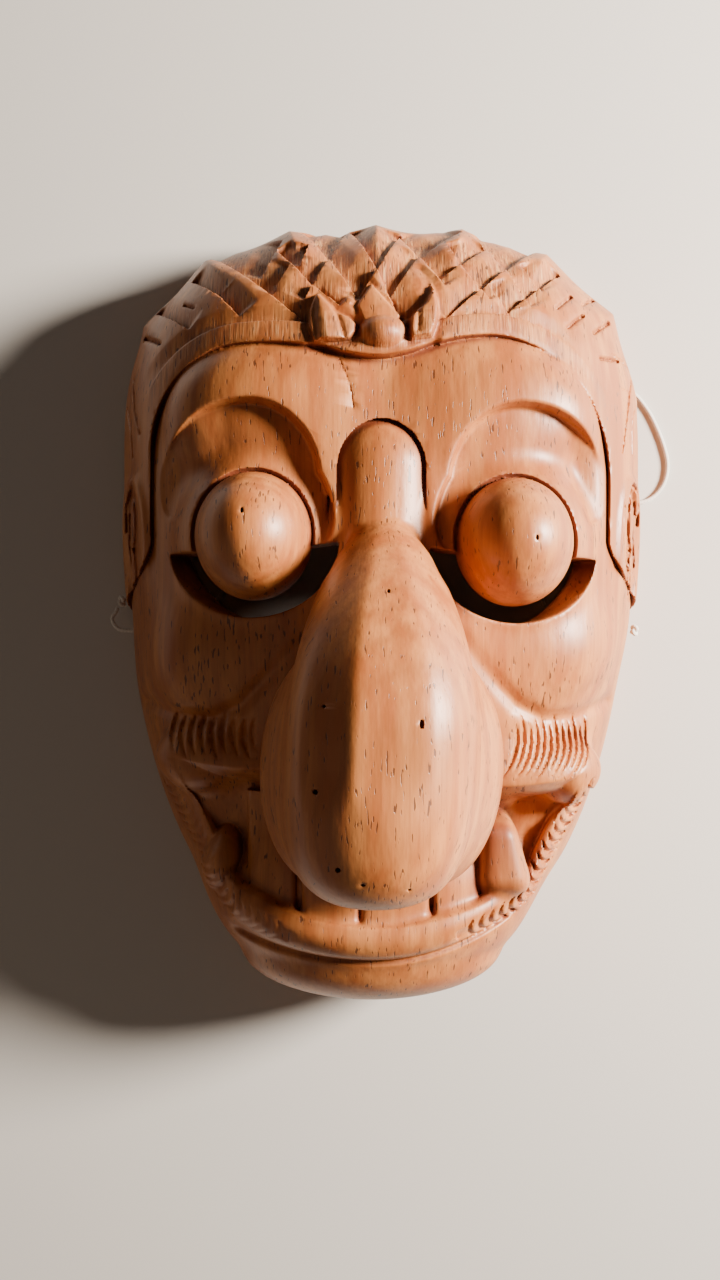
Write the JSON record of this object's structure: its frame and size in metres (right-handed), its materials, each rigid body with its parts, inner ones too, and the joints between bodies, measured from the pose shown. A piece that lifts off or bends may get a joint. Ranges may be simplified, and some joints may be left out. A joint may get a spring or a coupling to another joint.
{
  "type": "carved wooden face mask",
  "caption": "Hollow carved wooden face mask with bulging eyes, see-through slits, a long drop-shaped nose and a toothed mouth, worn by an elastic cord.",
  "frame": {"origin": "on the surface the mask lies on, under the middle of the wood's outline", "axes": "+Y to the crown, +Z out of the face, +X to the right of the face as it is seen"},
  "size_m": [0.1772, 0.232, 0.1073],
  "materials": {
    "carved_wood": "light brown hardwood, rubbed and waxed to a soft sheen, with fine open pores along the grain",
    "white_elastic": "braided white elastic thread"
  },
  "bodies": {
    "root": {"carved_mask": "carved_wood", "elastic_cord": "white_elastic", "knot_right": "white_elastic", "knot_left": "white_elastic"}
  },
  "joints": []
}
